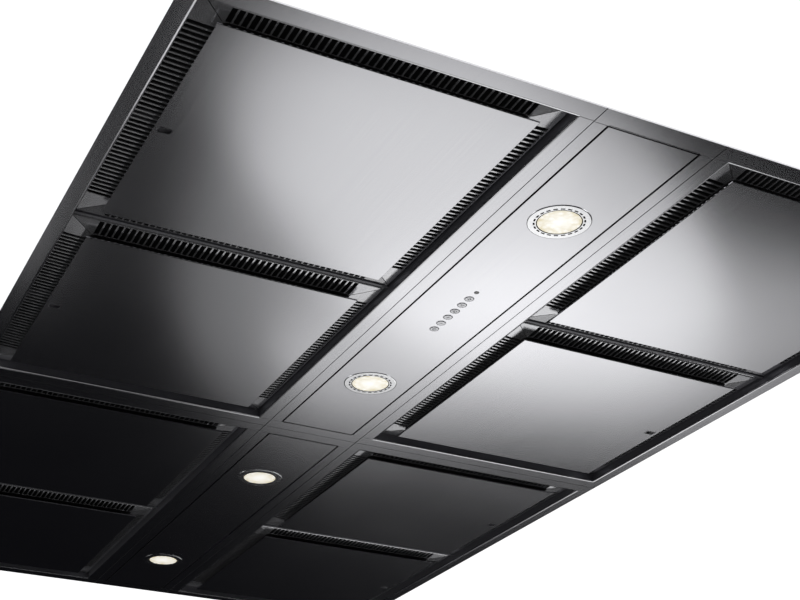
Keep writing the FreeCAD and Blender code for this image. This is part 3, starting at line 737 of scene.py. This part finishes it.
for bay in bays:
    look = lampLook
    door = f"light_door_{bay}"
    low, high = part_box(f"lamp_glasses_{bay}")
    reach = (high.x - low.x) / 2
    spots = [Vector(((low.x + high.x) / 2, y, under)) for y in (low.y + reach, high.y - reach)]
    glass = newPiece(f"lampGlass_{bay}", glassMesh(spots, look), lampGlass)
    carry(glass, door, f"lamp_glasses_{bay}")
    bezel = newPiece(f"lampBezel_{bay}", turnedMesh("lampBezel", spots, look), chrome)
    carry(bezel, door, f"lamp_bezels_{bay}")
    # a black ring round each glass: painted shade in the recess between the glass and the bezel
    sunk = [spot + Vector((0, 0, -look["grooveDrop"] * mm)) for spot in spots]
    groove = ringPiece(f"lampGrooveShade_{bay}", sunk, shadowGap, look["grooveRadius"], look["grooveWidth"],
                       look["grooveHeight"])
    carry(groove, door)
    # the bezel's notches are black blocks: painted shade in the slots of its face
    face = [spot + Vector((0, 0, look["bezelFace"] * mm)) for spot in spots]
    notches = newPiece(f"bezelNotches_{bay}", pointsMesh("notches", face), shadowGap)
    useTree(notches, lugs, {
        "Lugs": look["notches"], "Radius": look["notchRadius"] * mm, "Length": look["notchLength"] * mm,
        "Width": look["notchWidth"] * mm, "Height": look["notchHeight"] * mm})
    carry(notches, door)
    # painted shade: a strip of black rubber round each light panel, widening the dark gap line round it
    low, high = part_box(f"light_panel_{bay}")
    around = (low.x, high.x, low.y, high.y)
    edgingZ = (under - look["edgingDrop"] * mm, under + look["edgingRise"] * mm)
    strip = windowPlate(around, grown(around, -look["edging"] * mm), edgingZ)
    carry(newPiece(f"doorGapShade_{bay}", strip, rubber), door)
print("lamps made")


# plain marks on the buttons, as ribbons through points in mm on the button's face
def circleLine(radius, first=0, last=360):
    count = max(3, int((last - first) / 24))
    turns = [math.radians(first + (last - first) * step / count) for step in range(count + 1)]
    return [(radius * math.cos(turn), radius * math.sin(turn)) for turn in turns]


buttonLook = {
    "ribbon": 0.7, "raise": 0.05, "depth": 0.2, "ringRadius": 5.6,
    "marks": {
        1: [circleLine(2.3, 120, 420), [(0, 0.6), (0, 3.2)]],  # on and off
        2: [[(-2.3, 0), (2.3, 0)]],
        3: [[(-2.3, 0), (2.3, 0)], [(0, -2.3), (0, 2.3)]],
        4: [circleLine(2.6), [(0, 1.8), (0, 0), (1.4, 0)]],  # run-on time
        5: [[(-2.4, -1.6), (0, 2.4), (2.4, -1.6), (-2.4, -1.6)]],  # boost
        6: [circleLine(1.5), [(0, 2.3), (0, 3.3)], [(0, -2.3), (0, -3.3)], [(2.3, 0), (3.3, 0)],
            [(-2.3, 0), (-3.3, 0)]],  # lamp
    },
}


def ribbonMesh(strokes, centre, z, width):
    def fill(shape):
        for stroke in strokes:
            for (x0, y0), (x1, y1) in zip(stroke, stroke[1:]):
                run = math.hypot(x1 - x0, y1 - y0)
                dx, dy = (x1 - x0) / run * width / 2, (y1 - y0) / run * width / 2
                edge = ((x0 - dx - dy, y0 - dy + dx), (x0 - dx + dy, y0 - dy - dx),
                        (x1 + dx + dy, y1 + dy - dx), (x1 + dx - dy, y1 + dy + dx))
                # read from below, so right and left change places
                downFace(shape, [(centre.x - x * mm, centre.y + y * mm, z) for x, y in edge])

    return meshOf("ribbon", fill)


for number, strokes in buttonLook["marks"].items():
    low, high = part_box(f"button_{number}")
    strokes = strokes + [circleLine(buttonLook["ringRadius"])]
    ribbon = ribbonMesh(strokes, (low + high) / 2, low.z - buttonLook["raise"] * mm, buttonLook["ribbon"])
    mark = newPiece(f"buttonMark_{number}", ribbon, finish["laser marked steel"])
    thicken(mark, buttonLook["depth"])
    carry(mark, f"button_{number}")
print("buttons marked")

trimLook = {
    "joint": 0.7, "seam": 0.9, "drop": 0.04, "thickness": 0.3,
    "sideBorder": 18.5, "endBorder": 24, "channelBorder": 16.5, "channelEnd": 25,
    # rolled edge round an opening: how far it reaches into the opening, and its height
    "lip": [(-1.8, 0), (-1.7, -0.24), (-0.1, -0.07), (0.4, 0.2), (0.7, 0.8)],
}


# thin strips laid on the underside of the trim
def trimStrips(name, strips, material):
    z = under - trimLook["drop"] * mm

    def fill(shape):
        for x0, x1, y0, y1 in strips:
            downFace(shape, [(x0, y0, z), (x0, y1, z), (x1, y1, z), (x1, y0, z)])

    piece = newPiece(name, meshOf(name, fill), material)
    thicken(piece, trimLook["thickness"])
    carry(piece, "hood_body")


# ground joints where the end strips of a trim frame meet its long strips
joints, half = [], trimLook["joint"] / 2 * mm
for bay in bays:
    frames = [(f"side_frame_{side}_{bay}", trimLook["sideBorder"], trimLook["endBorder"]) for side in sides]
    frames.append((f"light_housing_{bay}", trimLook["channelBorder"], trimLook["channelEnd"]))
    for name, border, end in frames:
        low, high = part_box(name)
        for y in (low.y + end * mm, high.y - end * mm):
            joints.append((low.x, low.x + border * mm, y - half, y + half))
            joints.append((high.x - border * mm, high.x, y - half, y + half))
trimStrips("trimJoints", joints, jointSteel)

# dark lines where two modules meet
half = trimLook["seam"] / 2 * mm
low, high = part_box("side_frame_left_front")[0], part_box("side_frame_right_rear")[1]
middle = (low.y + high.y) / 2
meetings = [(corner.x - half, corner.x + half, low.y, high.y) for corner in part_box("light_housing_front")]
trimStrips("moduleSeams", meetings + [(low.x, high.x, middle - half, middle + half)], shadowGap)


def openingLips():
    def fill(shape):
        for module in modules:
            low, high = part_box(f"side_frame_{module}")
            rows = []
            for reach, height in trimLook["lip"]:
                x, y = (trimLook["sideBorder"] + reach) * mm, (trimLook["endBorder"] + reach) * mm
                corners = ((low.x + x, low.y + y), (high.x - x, low.y + y),
                           (high.x - x, high.y - y), (low.x + x, high.y - y))
                rows.append([shape.verts.new((at, to, under + height * mm)) for at, to in corners])
            for outer, inner in zip(rows, rows[1:]):
                for at in range(4):
                    lookDown(shape.faces.new((outer[at - 1], inner[at - 1], inner[at], outer[at])))

    return meshOf("openingLips", fill)


lips = newPiece("openingLips", openingLips(), trimSteel)
thicken(lips, trimLook["thickness"])
carry(lips, "hood_body")
print("trim joints drawn")

# lap strips along the edges and corners of each plenum, and pressed ribs that stiffen its roof
sheetLook = {"strip": 20, "thickness": 0.8, "foot": 8, "ribWidth": 12, "ribRise": 2.4, "ribEnd": 70,
             "ribRound": 2.3, "ribSteps": 4, "ribs": (-330, -190, 190, 330)}


def plenumSheets():
    strip, thick = sheetLook["strip"] * mm, sheetLook["thickness"] * mm
    end, half = sheetLook["ribEnd"] * mm, sheetLook["ribWidth"] / 2 * mm
    strips, ribs = [], []
    for module in modules:
        low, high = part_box(f"plenum_{module}")
        top, foot, fold = high.z + thick, low.z + sheetLook["foot"] * mm, high.z - strip
        edgesY = ((low.y - thick, low.y + strip), (high.y - strip, high.y + thick))
        for x0, x1 in ((low.x - thick, low.x + strip), (high.x - strip, high.x + thick)):
            strips.append(((x0, low.y - thick, high.z), (x1, high.y + thick, top)))
        for y0, y1 in edgesY:
            strips.append(((low.x + strip, y0, high.z), (high.x - strip, y1, top)))
        for x0, x1 in ((low.x - thick, low.x), (high.x, high.x + thick)):
            strips.append(((x0, low.y - thick, fold), (x1, high.y + thick, high.z)))
            strips += [((x0, y0, foot), (x1, y1, fold)) for y0, y1 in edgesY]
        for y0, y1 in ((low.y - thick, low.y), (high.y, high.y + thick)):
            strips.append(((low.x, y0, fold), (high.x, y1, high.z)))
            for x0, x1 in ((low.x, low.x + strip), (high.x - strip, high.x)):
                strips.append(((x0, y0, foot), (x1, y1, fold)))
        for y in sheetLook["ribs"]:
            at = (low.y + high.y) / 2 + y * mm
            ribs.append(((low.x + end, at - half, high.z - thick),
                         (high.x - end, at + half, high.z + sheetLook["ribRise"] * mm)))
    return boxesMesh("lapStrips", strips), boxesMesh("roofRibs", ribs)


stripMesh, ribMesh = plenumSheets()
carry(newPiece("lapStrips", stripMesh, stripZinc), "hood_body")
ribs = newPiece("roofRibs", ribMesh, stripZinc)
roundEdges(ribs, sheetLook["ribRound"], sheetLook["ribSteps"])
carry(ribs, "hood_body")

# air slots and a rubber grommet in the lid of each light channel; the slots are black boxes of painted shade
lidLook = {"slotLength": 60, "slotWidth": 4, "slotDepth": 0.5, "slotProud": 0.1, "pitch": 11, "slots": 9,
           "groups": (-250, 60), "grommetSpot": 260, "grommetRise": 1.2,
           "grommetRadius": 9, "grommetWidth": 5, "grommetHeight": 3.4, "grommetSides": 32}
slots, grommets = [], []
for bay in bays:
    look = lidLook
    low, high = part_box(f"light_housing_{bay}")
    middle, half = (low.y + high.y) / 2, look["slotLength"] / 2 * mm
    for group in look["groups"]:
        for step in range(look["slots"]):
            y = middle + (group + step * look["pitch"]) * mm
            slots.append(((-half, y, high.z - look["slotDepth"] * mm),
                          (half, y + look["slotWidth"] * mm, high.z + look["slotProud"] * mm)))
    grommets.append((0, middle + look["grommetSpot"] * mm, high.z + look["grommetRise"] * mm))
carry(newPiece("lidSlots", boxesMesh("lidSlots", slots), shadowGap), "hood_body")
grommet = ringPiece("lidGrommets", grommets, rubber, lidLook["grommetRadius"], lidLook["grommetWidth"],
                    lidLook["grommetHeight"], lidLook["grommetSides"])
carry(grommet, "hood_body")
print("plenum and lid sheets dressed")


# domed heads on points that face a given way: rivets of the sheet metal boxes
def rivetTree():
    tree, size = newTree("rivets", Float=("Radius", "Dome"))
    ball = addNode(tree, "GeometryNodeMeshUVSphere", {"Segments": 12, "Rings": 6, "Radius": size["Radius"]})
    head = addNode(tree, "GeometryNodeTransform", {
        "Geometry": ball, "Scale": combined(tree, 1, 1, size["Dome"])})
    facing = addNode(tree, "GeometryNodeInputNamedAttribute", {"Name": "facing"}, data_type="FLOAT_VECTOR")
    turned = addNode(tree, "FunctionNodeAlignRotationToVector", {"Vector": facing}, axis="Z")
    row = onPoints(tree, size["Geometry"], head, turned)
    return endTree(tree, row, size["Material"])


rivetLook = {"radius": 4.2, "dome": 0.5, "pitch": 85, "inset": 10, "column": 3}


def evenly(first, last, pitch):
    count = max(1, round((last - first) / pitch))
    return [first + (last - first) * step / count for step in range(count + 1)]


rivetSpots = []
for module in modules:
    low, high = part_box(f"plenum_{module}")
    inset, pitch = rivetLook["inset"] * mm, rivetLook["pitch"] * mm
    proud = sheetLook["thickness"] * mm
    rowsX, rowsY = (low.x + inset, high.x - inset), (low.y + inset, high.y - inset)
    for x in rowsX:
        rivetSpots += [((x, y, high.z + proud), (0, 0, 1)) for y in evenly(*rowsY, pitch)]
    for y in rowsY:
        rivetSpots += [((x, y, high.z + proud), (0, 0, 1)) for x in evenly(*rowsX, pitch)[1:-1]]
    for z in evenly(low.z + 3 * inset, high.z - inset, (high.z - low.z) / rivetLook["column"]):
        for y in rowsY:
            rivetSpots += [((low.x - proud, y, z), (-1, 0, 0)), ((high.x + proud, y, z), (1, 0, 0))]
        for x in rowsX:
            rivetSpots += [((x, low.y - proud, z), (0, -1, 0)), ((x, high.y + proud, z), (0, 1, 0))]
rivetMesh = pointsMesh("rivets", [spot for spot, way in rivetSpots])
facing = rivetMesh.attributes.new("facing", "FLOAT_VECTOR", "POINT")
facing.data.foreach_set("vector", [value for spot, way in rivetSpots for value in way])
rivets = newPiece("plenumRivets", rivetMesh, zincPlate)
useTree(rivets, rivetTree(), {"Radius": rivetLook["radius"] * mm, "Dome": rivetLook["dome"]})
carry(rivets, "hood_body")
print(len(rivetSpots), "rivets set")

# rubber ring at the foot of each duct collar, where the duct stops
sealLook = {"radius": 75, "rise": 4, "size": 5}
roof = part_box("plenum_left_front")[1].z
feet = []
for module in modules:
    low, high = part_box(f"duct_collar_{module}")
    feet.append(((low.x + high.x) / 2, (low.y + high.y) / 2, roof + sealLook["rise"] * mm))
seal = ringPiece("ductSeals", feet, rubber, sealLook["radius"] + sealLook["size"] / 2, sealLook["size"],
                 sealLook["size"])
carry(seal, "hood_body")
print("duct seals set")

# white ceiling with a cut-out for the hood, and above it a pale floor for the views from over the hood
stageLook = {"cutX": 0.505, "cutY": 0.892, "reach": 30, "face": "#ffffff", "floor": "#d9d9d8", "rough": 0.9,
             "glow": 1.0, "flange": 2, "board": 4}


def boardMesh(name, z):
    ring = [(-1, -1), (1, -1), (1, 1), (-1, 1)]
    cut = [(x * stageLook["cutX"], y * stageLook["cutY"], z) for x, y in ring]
    rim = [(x * stageLook["reach"], y * stageLook["reach"], z) for x, y in ring]
    mesh = bpy.data.meshes.new(name)
    mesh.from_pydata(cut + rim, [], [(at, (at + 1) % 4, 4 + (at + 1) % 4, 4 + at) for at in range(4)])
    return mesh


def boardPaint(name, colour, glow):
    material, tree, shader = newMaterial(name)
    shader.inputs["Base Color"].default_value = linear(colour)
    shader.inputs["Roughness"].default_value = stageLook["rough"]
    shader.inputs["Emission Color"].default_value = linear(colour)
    shader.inputs["Emission Strength"].default_value = glow
    return material


ceilingPaint = boardPaint("white ceiling paint", stageLook["face"], stageLook["glow"])
floorPaint = boardPaint("pale floor paint", stageLook["floor"], 0)
flange = under + stageLook["flange"] * mm
newPiece("ceilingFace", boardMesh("ceilingFace", flange), ceilingPaint)
newPiece("paleFloor", boardMesh("paleFloor", flange + stageLook["board"] * mm), floorPaint)

# pale sky above the board, a dark room below it
worldLook = {"room": (0.004, 0.004, 0.005, 1), "sky": (0.55, 0.55, 0.56, 1), "blend": (-0.02, 0.02)}
world = bpy.data.worlds.new("studio")
bpy.context.scene.world = world
world.use_nodes = True
tree = world.node_tree
height = addNode(tree, "ShaderNodeSeparateXYZ", {"Vector": ownPlace(tree, "Generated")}).outputs["Z"]
sky = mixColour(tree, ranged(tree, height, worldLook["blend"]), worldLook["room"], worldLook["sky"])
tree.links.new(sky, tree.nodes["Background"].inputs["Color"])

lightLook = {
    # name: where it hangs, where it points, size across and up, turn in degrees, power in watts
    "mirrorSoftboxLow": ((3.282, 4.072, -2.935), (0, -0.5, under), 3.45, 0.91, 0, 5.0),
    "mirrorSoftboxHigh": ((2.667, 4.017, -3.611), (0, -0.5, under), 3.06, 1.69, -34.1, 9.76),
    "mirrorSoftboxLeft": ((2.262, 4.369, -3.416), (0, -0.5, under), 2.46, 1.97, -140.6, 2.93),
    "rimSoftbox": ((0.55, 6.05, -4.88), (-0.49, -0.5, under), 0.3, 2.2, 0, 0.9),
    "backSoftbox": ((-1.6, -2.7, -1.9), (0, 0, under), 2.6, 1.8, 0, 6),
    "leftSoftbox": ((-2.6, 1.5, -1.8), (0, 0, under), 1.4, 1.0, 0, 8),
    "rightSoftbox": ((2.6, -1.5, -1.8), (0, 0, under), 1.4, 1.0, 0, 8),
    # the other sides get a mirror softbox each too
    **{f"mirrorSoftbox{way}": ((x, y, -3.95), (0, 0, under), 5.0, 2.4, 0, 11)
       for way, x, y in (("East", 6.42, -1.02), ("South", 1.02, -6.42), ("West", -5.79, -2.95),
                         ("North", -4.6, 4.6))},
    "topSoftbox": ((-1.2, -1.6, 3.4), (0, 0, 0), 3.0, 3.0, 0, 160),
}
for name, (spot, aim, across, up, turn, power) in lightLook.items():
    lamp = bpy.data.lights.new(name, "AREA")
    lamp.shape, lamp.size, lamp.size_y, lamp.energy = "ELLIPSE", across, up, power
    box = bpy.data.objects.new(name, lamp)
    box.location = spot
    box.rotation_euler = (Vector(aim) - Vector(spot)).to_track_quat("-Z", "Y").to_euler()
    box.rotation_euler.rotate_axis("Z", math.radians(turn))
    bpy.context.scene.collection.objects.link(box)

# place in m, below the underside, and angles in degrees
viewLook = {"lens": 63.777, "sensor": 36, "near": 0.02, "x": -0.77888, "y": -1.83170, "below": 0.82589,
            "tilt": 117.99, "turn": -26.92}
lens = bpy.data.cameras.new("photoView")
lens.lens, lens.sensor_width, lens.clip_start = viewLook["lens"], viewLook["sensor"], viewLook["near"]
camera = bpy.data.objects.new("photoView", lens)
camera.location = (viewLook["x"], viewLook["y"], under - viewLook["below"])
camera.rotation_euler = (math.radians(viewLook["tilt"]), 0, math.radians(viewLook["turn"]))
bpy.context.scene.collection.objects.link(camera)
bpy.context.scene.camera = camera
bpy.context.scene.view_settings.view_transform = "Standard"
print("light and camera set")
